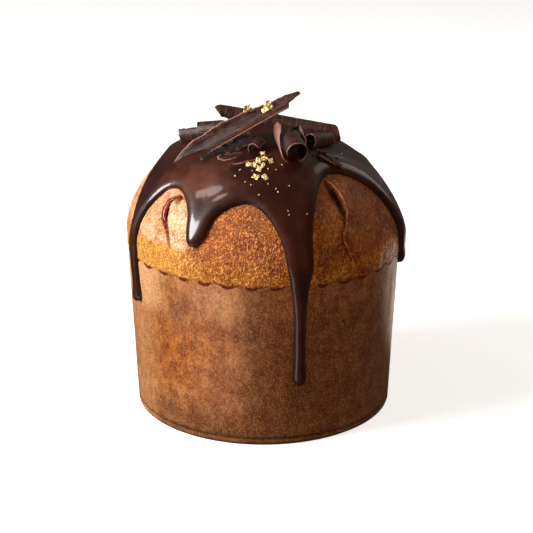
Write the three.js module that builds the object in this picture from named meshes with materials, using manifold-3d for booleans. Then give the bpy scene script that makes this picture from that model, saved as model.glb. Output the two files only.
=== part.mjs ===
// A small panettone: a domed loaf in its paper baking case, with a dark chocolate glaze
// that runs down in drips, shaved chocolate heaped on top, and a few flakes of gold leaf.
// Millimetres, +Z up. The origin is the centre of the case's base, and -Y is the front.
import * as THREE from "three";
import { mergeVertices } from "three/addons/utils/BufferGeometryUtils.js";
import Module from "manifold-3d";

const wasm = await Module();
wasm.setup();

// Driving dimensions
const gap = 0.3; // clearance between pieces that touch
const paper = {
  baseRadius: 64.2,
  rimRadius: 67.7,
  height: 81.5,
  thickness: 0.5,
  cornerRadius: 1.2,
  seamHeight: 3.4,
  seamDepth: 0.45,
  scallops: 36,
  scallopHeight: 0.95,
  rimTilt: 1.1,
};
const crust = {
  wideRadius: 68.3,
  wideHeight: 89.8,
  domeHeight: 48,
  lean: 1.9, // how far the crown stands to the left of the middle
  shoulderPower: 2.4,
  crownPower: 1.68,
};
const glazeCoat = { thickness: 1.5, bead: 0.5, edgeWidth: 3.2 };
const sheetThickness = 1;

// Where the glaze runs down. Angles are degrees round from the front, to the right.
// A drip leaves the coat at its root, narrows to its neck and ends in a bulb.
const drips = [
  { angle: -66.4, root: 93, rootWidth: 6.6, neck: 4.8, bulb: 6.8, tipAngle: -64.6, tip: 61 },
  { angle: -28.6, root: 105, rootWidth: 12.4, neck: 9, bulb: 8.6, tipAngle: -29.4, tip: 98.7 },
  { angle: 14.6, root: 93, rootWidth: 13.2, neck: 5.8, bulb: 7.4, tipAngle: 15, tip: 31.5 },
  { angle: 78.8, root: 92, rootWidth: 12, neck: 7.4, bulb: 9, tipAngle: 84, tip: 73 },
  { angle: 118, root: 98, rootWidth: 9, neck: 6.4, bulb: 8, tipAngle: 118, tip: 86 },
  { angle: 152, root: 94, rootWidth: 11, neck: 5.6, bulb: 7.6, tipAngle: 153, tip: 50 },
  { angle: 190, root: 103, rootWidth: 13, neck: 9, bulb: 9, tipAngle: 190, tip: 95 },
  { angle: 226, root: 94, rootWidth: 9, neck: 6, bulb: 7.6, tipAngle: 224, tip: 72 },
];
// The top of the arch in the glaze's edge between each drip and the next one round.
// A power of 2 gives an ellipse, and a greater one a squarer arch.
const arches = [
  { angle: -49, peak: 120.2 },
  { angle: -7, peak: 118.3 },
  { angle: 45.5, peak: 126, power: 2.2 },
  { angle: 96, peak: 119 },
  { angle: 135, peak: 123 },
  { angle: 171, peak: 118 },
  { angle: 208, peak: 121 },
  { angle: 260, peak: 124 },
];

const degrees = Math.PI / 180;
const clamp01 = (x) => Math.min(1, Math.max(0, x));
const smoothstep = (x) => {
  const t = clamp01(x);
  return t * t * (3 - 2 * t);
};
const mix = (a, b, t) => a + (b - a) * t;

// A point at an angle round from the front, a radius and a height.
const around = (angle, radius, z) =>
  new THREE.Vector3(radius * Math.sin(angle), -radius * Math.cos(angle), z);

const ring = (count, pointAt) =>
  Array.from({ length: count }, (_, i) => pointAt((i * 2 * Math.PI) / count));

// A closed solid through a row of loops, each with the same number of points, running
// counter-clockwise as seen from the next loop. A ladder of triangles closes each end.
function loft(loops) {
  const n = loops[0].length;
  const index = [];
  for (let row = 0; row + 1 < loops.length; row++)
    for (let i = 0; i < n; i++) {
      const a = row * n + i;
      const b = row * n + ((i + 1) % n);
      index.push(a, b, b + n, a, b + n, a + n);
    }
  const end = (loops.length - 1) * n;
  for (let i = 0; i + 1 < n - 1 - i; i++) {
    const [a, b, c, d] = [i, i + 1, n - 2 - i, n - 1 - i];
    index.push(b, a, d);
    index.push(end + a, end + b, end + d);
    if (b !== c) {
      index.push(c, b, d);
      index.push(end + b, end + c, end + d);
    }
  }
  return new THREE.BufferGeometry().setFromPoints(loops.flat()).setIndex(index);
}

function toSolid(geometry) {
  const bare = geometry.clone();
  for (const name of ["normal", "uv"]) bare.deleteAttribute(name);
  const merged = mergeVertices(bare, 1e-4);
  return new wasm.Manifold(
    new wasm.Mesh({
      numProp: 3,
      vertProperties: new Float32Array(merged.attributes.position.array),
      triVerts: new Uint32Array(merged.index.array),
    }),
  );
}

function toGeometry(solid) {
  const mesh = solid.getMesh();
  const geometry = new THREE.BufferGeometry();
  geometry.setAttribute("position", new THREE.BufferAttribute(mesh.vertProperties, 3));
  geometry.setIndex(new THREE.BufferAttribute(mesh.triVerts, 1));
  geometry.computeVertexNormals();
  return geometry;
}

// Profiles
const paperRadius = (z) => mix(paper.baseRadius, paper.rimRadius, clamp01(z / paper.height));
const rimMiddle = (angle) => paper.height - paper.rimTilt * Math.sin(angle);
const rimHeight = (angle) =>
  rimMiddle(angle) +
  paper.scallopHeight * Math.cos(paper.scallops * angle + 0.5 * Math.sin(3 * angle)) +
  0.2 * Math.sin(7 * angle);

// Slow swellings of the risen dough, in millimetres out from an even dome.
const swelling = (angle, rise) =>
  0.45 * Math.sin(rise) * Math.sin(2 * angle + 0.6) +
  0.3 * Math.sin(rise) * Math.sin(2 * rise) * Math.sin(5 * angle + 1.1);

// A point on the dome, from the crown (rise 0) to the widest ring (rise a quarter turn).
function domePoint(angle, rise, out = 0) {
  const along = Math.sin(rise) ** (2 / crust.shoulderPower);
  const up = Math.cos(rise) ** (2 / crust.crownPower);
  const swell = swelling(angle, rise) + out;
  const at = around(
    angle,
    crust.wideRadius * along + swell * Math.sin(rise),
    crust.wideHeight + crust.domeHeight * up + swell * Math.cos(rise),
  );
  return at.setX(at.x - crust.lean * up);
}
const riseAt = (z) =>
  Math.acos(clamp01((z - crust.wideHeight) / crust.domeHeight) ** (crust.crownPower / 2));

// Radius of the loaf below its widest ring, where it narrows over the case's rim.
function loafRadius(angle, z) {
  const inCase = paperRadius(z) - paper.thickness - gap;
  const neckTop = rimMiddle(angle) + paper.scallopHeight + 0.2 + gap;
  const out = Math.sin((Math.PI / 2) * clamp01((z - neckTop) / (crust.wideHeight - neckTop)));
  return mix(inCase, crust.wideRadius + swelling(angle, Math.PI / 2), out);
}
// Radius of what the drips run down: the loaf's side, then the outside of the case.
const runRadius = (angle, z) =>
  mix(
    paperRadius(z) + gap,
    crust.wideRadius + swelling(angle, Math.PI / 2) + gap,
    smoothstep((z - rimMiddle(angle) - paper.scallopHeight - 0.2) / 6),
  );

// The loaf
const aroundLoaf = 60;
const domeRises = [90, 80, 70, 60, 51, 43, 35, 27, 19, 11, 4].map((d) => d * degrees);

// A groove along a split in the crust, to cut from the loaf.
function split(path, width, depth) {
  const middle = new THREE.CatmullRomCurve3(
    path.map(([angle, z]) => domePoint(angle * degrees, riseAt(z), 0.4)),
  );
  const steps = 10;
  const sides = 6;
  const loops = [];
  for (let i = 0; i <= steps; i++) {
    const at = middle.getPoint(i / steps);
    const forward = middle.getTangent(i / steps);
    const outward = at.clone().setZ(at.z - crust.wideHeight).normalize();
    const across = outward.clone().cross(forward).normalize();
    const open = 0.15 + 0.85 * Math.sin((Math.PI * i) / steps);
    loops.push(
      Array.from({ length: sides }, (_, k) => {
        const turn = (2 * Math.PI * k) / sides;
        return at
          .clone()
          .addScaledVector(across, -0.5 * width * open * Math.cos(turn))
          .addScaledVector(outward, -depth * open * Math.sin(turn));
      }),
    );
  }
  return toSolid(loft(loops));
}

function makeLoaf() {
  const foot = paper.thickness + gap;
  const corner = paper.cornerRadius;
  const loops = [
    ring(aroundLoaf, (a) => around(a, loafRadius(a, foot) - corner, foot)),
    ring(aroundLoaf, (a) => around(a, loafRadius(a, foot) - 0.3 * corner, foot + 0.3 * corner)),
    ring(aroundLoaf, (a) => around(a, loafRadius(a, foot + corner) - paper.seamDepth, foot + corner)),
    ring(aroundLoaf, (a) => around(a, loafRadius(a, 7), 7)),
    ring(aroundLoaf, (a) => around(a, loafRadius(a, 76), 76)),
  ];
  for (const share of [0, 0.3, 0.65])
    loops.push(
      ring(aroundLoaf, (a) => {
        const neckTop = rimMiddle(a) + paper.scallopHeight + 0.2 + gap;
        const z = mix(neckTop, crust.wideHeight, share);
        return around(a, loafRadius(a, z), z);
      }),
    );
  for (const rise of domeRises) loops.push(ring(aroundLoaf, (a) => domePoint(a, rise)));
  const leftSplit = [[-49, 119], [-51.5, 113], [-50, 108], [-45.5, 103.5], [-42, 97]];
  const rightSplit = [[40, 121.5], [41.5, 116.5], [40, 111], [36, 104.5], [35, 98.5], [37, 92]];
  return toSolid(loft(loops))
    .subtract(split(leftSplit, 2.6, 2.2))
    .subtract(split(rightSplit, 2.2, 1.8));
}

// The paper case: a thin cup with a scalloped rim and a crimped seam above its base
function makeCase() {
  const count = paper.scallops * 3;
  const wall = paper.thickness;
  const corner = paper.cornerRadius;
  const seam = paper.seamHeight;
  const outer = (z, inset = 0) => ring(count, (a) => around(a, paperRadius(z) - inset, z));
  return loft([
    outer(0, corner),
    outer(0.3 * corner, 0.3 * corner - 0.2),
    outer(0.8 * corner),
    outer(seam, paper.seamDepth),
    outer(seam + 1.4),
    ring(count, (a) => around(a, paperRadius(rimHeight(a)), rimHeight(a))),
    ring(count, (a) => around(a, paperRadius(rimHeight(a)) - wall, rimHeight(a))),
    outer(seam + 1.4, wall),
    outer(seam, wall + paper.seamDepth),
    ring(count, (a) => around(a, paperRadius(wall) - wall - 0.3 * corner, wall + 0.3 * corner)),
    ring(count, (a) => around(a, paperRadius(wall) - wall - corner, wall)),
  ]);
}

// The glaze
const turnFrom = (start, end) => (((end - start) % 360) + 360) % 360;
const perDegree = crust.wideRadius * degrees; // millimetres round the widest ring

// Each side of an arch is a quarter of an ellipse, down to the root of the drip there.
const archSpread = ({ peak, power = 2 }, root, z) =>
  (1 - clamp01((z - root) / (peak - root)) ** power) ** (1 / power);

// The two sides of a drip at a height, in degrees round from the front.
function dripSides(i, z) {
  const { angle, root, rootWidth, neck, bulb, tipAngle, tip } = drips[i];
  if (z > root) {
    const before = arches[(i + arches.length - 1) % arches.length];
    const half = (0.5 * rootWidth) / perDegree;
    const toLeft = turnFrom(before.angle, angle) - half;
    const toRight = turnFrom(angle, arches[i].angle) - half;
    return [
      angle - half - toLeft * (1 - archSpread(before, root, z)),
      angle + half + toRight * (1 - archSpread(arches[i], root, z)),
    ];
  }
  const taper = clamp01((root - z) / Math.min(30, root - tip));
  const swell = smoothstep(1 - (z - tip) / Math.min(1.9 * bulb, root - tip));
  const width = mix(mix(rootWidth, neck, 1 - (1 - taper) ** 1.7), bulb, swell);
  const round = Math.sqrt(1 - (1 - clamp01((z - tip) / (0.5 * bulb))) ** 2) + 0.03;
  const middle = mix(angle, tipAngle, smoothstep((root - z) / (root - tip)));
  return [middle - (0.5 * width * round) / perDegree, middle + (0.5 * width * round) / perDegree];
}

// Height at which an arch's side turns from the coat's own edge into a drip's side.
const shoulder = (peak, root) => mix(root, peak, 0.55);

// Height of the coat's lower edge: the tops of the arches, and level across the drips.
function edgeHeight(angle) {
  const turn = angle / degrees;
  for (let i = 0; i < drips.length; i++) {
    const next = drips[(i + 1) % drips.length];
    const along = turnFrom(drips[i].angle, turn);
    if (along > turnFrom(drips[i].angle, next.angle)) continue;
    const toPeak = turnFrom(drips[i].angle, arches[i].angle);
    const drip = along < toPeak ? drips[i] : next;
    const reach = along < toPeak ? toPeak : turnFrom(arches[i].angle, next.angle);
    const span = reach - (0.5 * drip.rootWidth) / perDegree;
    const out = clamp01(Math.abs(along - toPeak) / span);
    const z = mix(drip.root, arches[i].peak, Math.sqrt(1 - out ** 2));
    return Math.max(z, shoulder(arches[i].peak, drip.root));
  }
}

// How thick the glaze is at a distance in from its rounded edge.
function thicknessAt(inward, edgeWidth, thickness) {
  const round = Math.sqrt(1 - (1 - clamp01(inward / edgeWidth)) ** 2);
  const bead = glazeCoat.bead * Math.sin(Math.PI * clamp01(inward / (3 * edgeWidth)));
  return thickness * round + bead;
}

// What lies under the glaze, with the clearance added: the dome and the outside of the case.
function makeUnderGlaze() {
  const heights = [20, 76, 80.5, 83.5, 86.5];
  const loops = heights.map((z) => ring(aroundLoaf, (a) => around(a, runRadius(a, z), z)));
  for (const rise of domeRises) loops.push(ring(aroundLoaf, (a) => domePoint(a, rise, gap)));
  return toSolid(loft(loops));
}

// The coat over the dome, solid through to the middle.
function makeCoat(extra = 0) {
  const count = 96;
  const shares = [1, 0.99, 0.965, 0.92, 0.84, 0.7, 0.55, 0.4, 0.25, 0.1];
  const loops = [ring(count, (a) => around(a, 0.5 * crust.wideRadius, crust.wideHeight - 12))];
  for (const share of shares)
    loops.push(
      ring(count, (a) => {
        const edge = riseAt(edgeHeight(a));
        const inward = edge * (1 - share) * crust.wideRadius;
        const thick = thicknessAt(inward, glazeCoat.edgeWidth, glazeCoat.thickness);
        return domePoint(a, edge * share, (share === 1 ? -1.2 : gap + thick) + extra);
      }),
    );
  return toSolid(loft(loops));
}

// One drip, from inside the coat down to its tip, sunk a little in what it runs down.
function makeDrip(drip, i) {
  const before = arches[(i + arches.length - 1) % arches.length];
  const top = Math.min(before.peak, arches[i].peak) - 0.5;
  const tail = drip.root - drip.tip;
  const heights = [top, mix(top, drip.root, 0.25), mix(top, drip.root, 0.6)];
  const rows = Math.max(4, Math.round(tail / 6));
  for (let k = 0; k <= rows; k++)
    heights.push(drip.tip + 0.02 + tail * (1 - Math.sin((Math.PI / 2) * (k / rows)) ** 0.85));
  const columns = 8;
  const loops = heights.map((z) => {
    const [left, right] = dripSides(i, z);
    const halfWidth = 0.5 * (right - left) * perDegree;
    const sunk = smoothstep((top - z) / (0.3 * (top - drip.root)));
    const swell = smoothstep(1 - (z - drip.tip) / Math.min(1.9 * drip.bulb, tail));
    const round = Math.sqrt(1 - (1 - clamp01((z - drip.tip) / (0.5 * drip.bulb))) ** 2);
    const thick = mix(mix(0.6, 2.1, sunk), 3, swell) * round;
    const at = (share, out) => {
      const turn = mix(left, right, 0.5 + 0.5 * share) * degrees;
      if (z > crust.wideHeight) return domePoint(turn, riseAt(z), gap + out);
      return around(turn, runRadius(turn, z) + out, z);
    };
    return Array.from({ length: columns + 1 }, (_, k) => {
      const share = -Math.cos((Math.PI * k) / columns);
      if (k === 0 || k === columns) return at(share, -0.8);
      const inward = (1 - Math.abs(share)) * halfWidth;
      return at(share, thicknessAt(inward, Math.min(glazeCoat.edgeWidth, halfWidth), thick));
    });
  });
  return toSolid(loft(loops.reverse()));
}

// A crumpled scrap of gold leaf, standing a little proud of what it lies on.
function goldFlake([x, y, z], size, lean) {
  const flake = new THREE.IcosahedronGeometry(1, 0);
  flake.scale(size, 0.7 * size, 0.55);
  flake.rotateX(lean);
  flake.rotateZ(1.7 * x + y);
  flake.translate(x, y, z);
  return toSolid(flake);
}
const glazeFlakes = [
  [-6.6, 130.4, 1.9],
  [-3.4, 131, 1.6],
  [-0.4, 130.4, 2],
  [2.4, 130.8, 1.7],
  [-1.8, 128.4, 1.7],
  [-5, 126, 1.6],
  [0.6, 125.8, 1.9],
];

function makeGlaze() {
  let glaze = makeCoat();
  drips.forEach((drip, i) => (glaze = glaze.add(makeDrip(drip, i))));
  glaze = glaze.subtract(makeUnderGlaze());
  for (const [x, z, size] of glazeFlakes) {
    const { y } = domePoint(0, riseAt(z));
    const at = domePoint(Math.asin(-x / y), riseAt(z), gap + glazeCoat.thickness + 0.1);
    glaze = glaze.add(goldFlake(at.toArray(), size, 0.35 + 0.1 * x));
  }
  return glaze;
}

// Shaved chocolate: a thin sheet made along X and curled about X, lying on Z = 0.
// Its outline is a table of [share of the length, one side, other side], with the sides
// as shares of half the turn, so that it can end in points and torn corners.
function curledSheet({ length, radius, turn, outline, rows = 6, sides = 6, ...more }) {
  const { grow = 0, cone = 0, seam = 0, bow = 0 } = more;
  const loops = [];
  for (let i = 0; i <= rows; i++) {
    const u = outline.length > 2 ? outline[i][0] : i / rows;
    const [, low, high] = outline.length > 2 ? outline[i] : outline[0];
    const section = (out) =>
      Array.from({ length: sides + 1 }, (_, k) => {
        const theta = 0.5 * turn * degrees * mix(low, high, k / sides);
        const bend = radius * (1 + cone * (u - 0.5)) + grow * (theta / Math.PI) + out;
        const at = theta + seam * degrees;
        const rise = radius + 4 * bow * u * (1 - u);
        return new THREE.Vector3((u - 0.5) * length, bend * Math.sin(at), rise - bend * Math.cos(at));
      });
    loops.push([...section(0.5 * sheetThickness), ...section(-0.5 * sheetThickness).reverse()]);
  }
  return loft(loops);
}

// Turns a sheet so that the line it lies on runs from one point to another, then rolls it
// about that line.
function lay(geometry, from, to, roll) {
  const start = new THREE.Vector3(...from);
  const finish = new THREE.Vector3(...to);
  const forward = finish.clone().sub(start).normalize();
  const side = new THREE.Vector3(0, 0, 1).cross(forward).normalize();
  const up = forward.clone().cross(side);
  const pose = new THREE.Matrix4().makeBasis(forward, side, up);
  pose.multiply(new THREE.Matrix4().makeRotationX(roll * degrees));
  pose.setPosition(start.add(finish).multiplyScalar(0.5));
  return geometry.applyMatrix4(pose);
}

const blunt = [[0, -1, 1], [1, -1, 1]];
const leaf = [[0, -0.2, 0.2], [0.15, -0.7, 0.6], [0.5, -1, 1], [0.8, -0.8, 0.7], [1, -0.15, 0.1]];
const torn = [[0, 0.2, 1], [0.2, -0.9, 1], [0.6, -1, 0.9], [0.85, -0.8, 0.5], [1, -0.3, 0.1]];

const shavings = {
  shard_long: {
    lay: [[-42.6, -20.5, 126.2], [17.4, -8.4, 158.8], 32],
    length: 71,
    bow: 1.6,
    radius: 6.4,
    turn: 100,
    outline: [
      [0, -0.1, 0.3],
      [0.07, -0.5, 0.8],
      [0.2, -1, 1.15],
      [0.45, -1, 1.2],
      [0.7, -1, 0.85],
      [0.88, -0.95, 0.65],
      [0.895, -0.15, 0.65],
      [1, 0.2, 0.45],
    ],
  },
  shard_under: {
    lay: [[-27, -28, 131.7], [-5.2, -20, 141.6], 34],
    length: 29,
    radius: 6,
    turn: 66,
    sides: 4,
    outline: torn,
  },
  quill_back: {
    lay: [[-25, 16, 141.6], [38.2, 13, 130.8], 0],
    length: 64,
    radius: 3,
    turn: 230,
    seam: -150,
    outline: [[0, 0, 0.12], [0.06, -0.6, 0.7], [0.3, -1, 1], [0.93, -1, 1], [0.965, 0, 1], [1, 0.72, 1]],
  },
  quill_left: {
    lay: [[-39.8, 3.4, 132.4], [-17, -4, 137.2], 0],
    length: 23.5,
    radius: 3.7,
    turn: 420,
    grow: 0.72,
    cone: -0.25,
    seam: 60,
    sides: 12,
    outline: [[0, -1, 0.74], [0.27, -1, 0.84], [1, -1, 1]],
  },
  curl_big: {
    lay: [[9.4, -15.5, 140.1], [15, -34.2, 133.9], 0],
    length: 20.5,
    radius: 4.4,
    turn: 400,
    grow: -1.1,
    cone: 0.3,
    seam: 90,
    sides: 12,
    outline: [[0, -1.15, -0.95], [0.2, -1.2, -0.3], [0.38, -1.15, 0.4], [0.58, -1, 1], [0.78, -0.9, 1], [1, -0.82, 1]],
  },
  roll_right: {
    lay: [[21.2, -17.5, 135.9], [32.4, -4, 133.7], 0],
    length: 15,
    radius: 2.7,
    turn: 330,
    grow: 0.5,
    seam: 170,
    sides: 10,
    rows: 1,
    outline: blunt,
  },
  splinter: {
    lay: [[20.8, -25.6, 134.6], [17.6, -20, 147.2], 90],
    length: 14,
    radius: 5,
    turn: 40,
    sides: 3,
    outline: leaf,
  },
  curl_small: {
    lay: [[-4.6, -28.2, 135.8], [-1.8, -22.4, 137.2], 0],
    length: 7.5,
    radius: 2.1,
    turn: 270,
    grow: 0.5,
    seam: 120,
    sides: 8,
    rows: 1,
    outline: blunt,
  },
  shard_front: {
    lay: [[-15.9, -35, 132.8], [2.6, -30.8, 136.1], 10],
    length: 21,
    radius: 7,
    turn: 42,
    sides: 3,
    outline: leaf,
  },
  strip_front: {
    lay: [[-20.8, -31.2, 133.7], [-10.6, -28.6, 136], 20],
    length: 12,
    radius: 6,
    turn: 40,
    sides: 3,
    outline: torn,
  },
  flake_right: {
    lay: [[25.6, -23.5, 135.2], [37.4, -26.4, 129.1], 5],
    length: 14,
    radius: 8,
    turn: 46,
    sides: 3,
    outline: torn,
  },
  chip_middle: {
    lay: [[12, -8, 140.8], [21, -11.5, 139.8], 60],
    length: 10,
    radius: 5,
    turn: 90,
    sides: 4,
    outline: leaf,
  },
  curl_rear: {
    lay: [[-11, 35, 132], [6, 37.5, 131.4], 0],
    length: 17,
    radius: 2.3,
    turn: 300,
    grow: 0.4,
    seam: 150,
    sides: 10,
    rows: 1,
    outline: blunt,
  },
  flake_rear: {
    lay: [[9, 33, 133.3], [22, 27, 133.5], 0],
    length: 14,
    radius: 8,
    turn: 50,
    sides: 3,
    outline: leaf,
  },
};

const seat = makeCoat(gap);
function makeShaving({ lay: pose, ...shape }) {
  const rows = shape.outline.length > 2 ? shape.outline.length - 1 : shape.rows;
  return toSolid(lay(curledSheet({ ...shape, rows }), ...pose)).subtract(seat);
}

// Colours and finishes
const finish = (color, roughness) => new THREE.MeshStandardMaterial({ color, roughness, metalness: 0 });
const bakedCrust = finish(0xb4662a, 0.75);
const brownPaper = finish(0x8c5a34, 0.55);
const chocolateGlaze = finish(0x3a1c12, 0.2);
const shavedChocolate = finish(0x4a2a20, 0.6);

const panettone = new THREE.Group();
function addPiece(name, geometry, material) {
  const mesh = new THREE.Mesh(geometry, material);
  mesh.name = name;
  panettone.add(mesh);
}

addPiece("loaf", toGeometry(makeLoaf()), bakedCrust);
addPiece("paper_case", makeCase(), brownPaper);
addPiece("glaze", toGeometry(makeGlaze()), chocolateGlaze);
for (const [name, shape] of Object.entries(shavings))
  addPiece(name, toGeometry(makeShaving(shape)), shavedChocolate);

export default panettone;
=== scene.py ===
# %% [markdown]
# # A glazed panettone, dressed in Blender
#
# A small domed loaf stands in its brown paper baking case. Melted chocolate was poured over
# the crown and ran down in drips, shavings of chocolate are heaped on top, and a little gold
# leaf was dropped on them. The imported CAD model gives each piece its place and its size. This
# lesson builds the same pieces again with the detail that the eye looks for: a pitted crust,
# greasy paper, a soft wet gloss on the glaze, and torn, thin edges on the shavings.
#
# We start with the frame, and keep its box to compare sizes at the end.

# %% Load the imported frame
import math

import bmesh
import bpy
import numpy as np
from mathutils import Matrix, Vector, kdtree, noise
from mathutils.bvhtree import BVHTree


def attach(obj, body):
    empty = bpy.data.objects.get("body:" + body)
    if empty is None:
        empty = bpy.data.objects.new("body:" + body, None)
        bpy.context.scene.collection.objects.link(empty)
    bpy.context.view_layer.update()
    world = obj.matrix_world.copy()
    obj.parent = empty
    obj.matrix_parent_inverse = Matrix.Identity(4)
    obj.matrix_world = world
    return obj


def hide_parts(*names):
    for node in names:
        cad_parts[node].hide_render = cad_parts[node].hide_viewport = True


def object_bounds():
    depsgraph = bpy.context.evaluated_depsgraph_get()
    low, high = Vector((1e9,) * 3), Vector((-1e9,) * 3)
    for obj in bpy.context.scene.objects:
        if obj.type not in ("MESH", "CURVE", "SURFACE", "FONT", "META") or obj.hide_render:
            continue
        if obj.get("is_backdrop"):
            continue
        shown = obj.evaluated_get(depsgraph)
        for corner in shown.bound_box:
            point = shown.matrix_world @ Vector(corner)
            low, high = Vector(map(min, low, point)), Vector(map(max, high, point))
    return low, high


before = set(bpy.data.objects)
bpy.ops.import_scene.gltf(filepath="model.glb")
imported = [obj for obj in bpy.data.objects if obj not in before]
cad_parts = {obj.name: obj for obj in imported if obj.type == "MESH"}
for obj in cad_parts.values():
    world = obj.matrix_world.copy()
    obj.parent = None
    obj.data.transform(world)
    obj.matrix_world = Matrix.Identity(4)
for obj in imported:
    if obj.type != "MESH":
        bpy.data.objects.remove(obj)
cad_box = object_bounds()
scene = bpy.context.scene
print("pieces in the frame:", ", ".join(sorted(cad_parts)))

# %% [markdown]
# ## The camera
#
# A long lens flattens perspective, as food photographers like it. The camera stands to the
# front, a little above the crown, and looks down by twenty degrees. It is made first, because
# gold leaf and crumbs are later dropped where a line from the camera meets the cake.

# %% Set up the camera
MM = 0.001  # a millimetre, in Blender's metres
picture_side = 533  # pixels
focal_length = 1650  # pixels
sensor_width = 36  # millimetres
camera_place = Vector((0, -780, 353))  # millimetres
tilt = math.radians(20.05)
off_centre = 3  # pixels that the cake stands left of the picture's middle

camera = bpy.data.objects.new("camera", bpy.data.cameras.new("camera"))
scene.collection.objects.link(camera)
scene.camera = camera
camera.location = camera_place * MM
camera.rotation_euler = (math.pi / 2 - tilt, 0, 0)
camera.data.sensor_width = sensor_width
camera.data.lens = sensor_width * focal_length / picture_side
camera.data.shift_x = off_centre / picture_side
print(f"lens {camera.data.lens:.0f} mm, {camera_place.length:.0f} mm away")


def sight_line(across, down):
    """The direction from the camera through a pixel of the picture."""
    middle = picture_side / 2
    ray = Vector((across - middle + off_centre, middle - down, -focal_length))
    return (camera.rotation_euler.to_matrix() @ ray).normalized()


# %% [markdown]
# ## The shapes that the pieces share
#
# The loaf, the case and the glaze lie on one another, so they are all measured from the same
# two forms: the dome of the risen dough, and the slightly tapered wall of the case. Here both
# are plain functions of an angle round from the front and a height, in millimetres, and numpy
# works them out for thousands of points at once.

# %% The dome and the case as functions
base_radius, rim_radius, case_height, paper_wall = 64.2, 67.7, 81.5, 0.5
wide_radius, wide_height, dome_height = 68.3, 89.8, 48
crown_lean = 1.9  # the crown stands a little to the left
shoulder_power, crown_power = 2.4, 1.68
scallops, scallop_height = 36, 0.95


def blend(first, second, share):
    return first + (second - first) * share


def smooth(share):
    share = np.clip(share, 0, 1)
    return share * share * (3 - 2 * share)


def quarter_round(share):
    """From 0 to 1 like the side of a circle: steep at first, then level."""
    return np.sqrt(1 - (1 - np.clip(share, 0, 1)) ** 2)


def bell(*offsets):
    """1 where every offset is 0, and close to 0 where one of them is above 2."""
    return np.exp(-sum(offset ** 2 for offset in offsets))


def polar(angle, radius, z):
    return np.stack(np.broadcast_arrays(radius * np.sin(angle), -radius * np.cos(angle), z), -1)


def paper_radius(z):
    return blend(base_radius, rim_radius, np.clip(z / case_height, 0, 1))


def rim_height(angle, scalloped=1.0):
    wave = scallop_height * np.cos(scallops * angle + 0.5 * np.sin(3 * angle))
    return case_height - 1.1 * np.sin(angle) + scalloped * (wave + 0.2 * np.sin(7 * angle))


def swelling(angle, rise):
    slow = 0.45 * np.sin(2 * angle + 0.6)
    quick = 0.3 * np.sin(2 * rise) * np.sin(5 * angle + 1.1)
    return np.sin(rise) * (slow + quick)


def dome_point(angle, rise, out=0.0):
    """A point of the dome: rise is 0 at the crown and a quarter turn at the widest ring."""
    along = np.sin(rise) ** (2 / shoulder_power)
    up = np.cos(np.minimum(rise, math.pi / 2)) ** (2 / crown_power)
    swell = swelling(angle, rise) + out
    point = polar(
        angle,
        wide_radius * along + swell * np.sin(rise),
        wide_height + dome_height * up + swell * np.cos(rise),
    )
    point[..., 0] -= crown_lean * up
    return point


def rise_at(z):
    return np.arccos(np.clip((z - wide_height) / dome_height, 0, 1) ** (crown_power / 2))


def lengths_along(line):
    """Distance along a line from its first point to each of its points."""
    steps = np.linalg.norm(np.diff(line, axis=0), axis=1)
    return np.concatenate([[0], np.cumsum(steps)])


# Distance down a meridian from the crown, so that rows of points can be evenly spaced.
rises = np.linspace(0, math.pi / 2, 600)
down_meridian = lengths_along(dome_point(0 * rises, rises))
dome_arc = down_meridian[-1]


def arc_at(z):
    on_dome = np.interp(rise_at(z), rises, down_meridian)
    return np.where(z > wide_height, on_dome, dome_arc + wide_height - z)


print(f"crown to widest ring: {dome_arc:.1f} mm along the crust")

# %% [markdown]
# ## Tools for making meshes
#
# Round pieces start as a flat grid that is rolled into a tube and welded. A function then moves
# every vertex to its place, which keeps the faces even and lets one formula describe a whole
# crust. Seeded noise from mathutils gives the bumps, so each run makes the same cake.

# %% Mesh helpers
def read_points(mesh):
    return np.array([v.co for v in mesh.verts])


def place_points(vertices, points):
    for vertex, point in zip(vertices, points):
        vertex.co = point


def angle_of(points):
    """Angle round the cake, counted from the front towards the right."""
    return np.arctan2(points[:, 0], -points[:, 1])


def unit(vectors):
    return vectors / np.linalg.norm(vectors, axis=1)[:, None]


def on_boundary(elements):
    return [e for e in elements if e.is_boundary]


def edge_ends(mesh):
    """The two vertex numbers of every edge."""
    mesh.verts.index_update()
    return np.array([[v.index for v in e.verts] for e in mesh.edges])


def double_sheet(mesh):
    """Copies every face of a sheet. Returns the new vertices and the new faces."""
    copies = bmesh.ops.duplicate(mesh, geom=mesh.faces[:])["geom"]
    kinds = bmesh.types.BMVert, bmesh.types.BMFace
    return [[c for c in copies if isinstance(c, kind)] for kind in kinds]


def flat_lattice(rows, columns):
    """A flat grid from 0 to 1 each way."""
    mesh = bmesh.new()
    bmesh.ops.create_grid(mesh, x_segments=rows, y_segments=columns, size=0.5)
    bmesh.ops.translate(mesh, vec=(0.5, 0.5, 0), verts=mesh.verts)
    return mesh


def rolled_lattice(rows, columns):
    """A grid rolled into a tube round Z and welded. Its vertices hold their row number as -z."""
    mesh = flat_lattice(columns, rows - 1)
    flat = read_points(mesh)
    place_points(mesh.verts, polar(2 * math.pi * flat[:, 0], 1.0, (1 - rows) * flat[:, 1]))
    bmesh.ops.remove_doubles(mesh, verts=on_boundary(mesh.verts), dist=1e-4)
    return mesh


def close_ends(mesh):
    bmesh.ops.holes_fill(mesh, edges=on_boundary(mesh.edges), sides=0)
    bmesh.ops.recalc_face_normals(mesh, faces=mesh.faces)


def clouds(points, size, seed=0.0):
    """Soft random bumps between -1 and 1, about as wide as size in millimetres."""
    shift = np.array([seed, -0.7 * seed, 1.3 * seed])
    return np.array([noise.noise(p) for p in points / size + shift])


def to_data(name, mesh):
    data = bpy.data.meshes.new(name)
    mesh.to_mesh(data)
    mesh.free()
    return data


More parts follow.
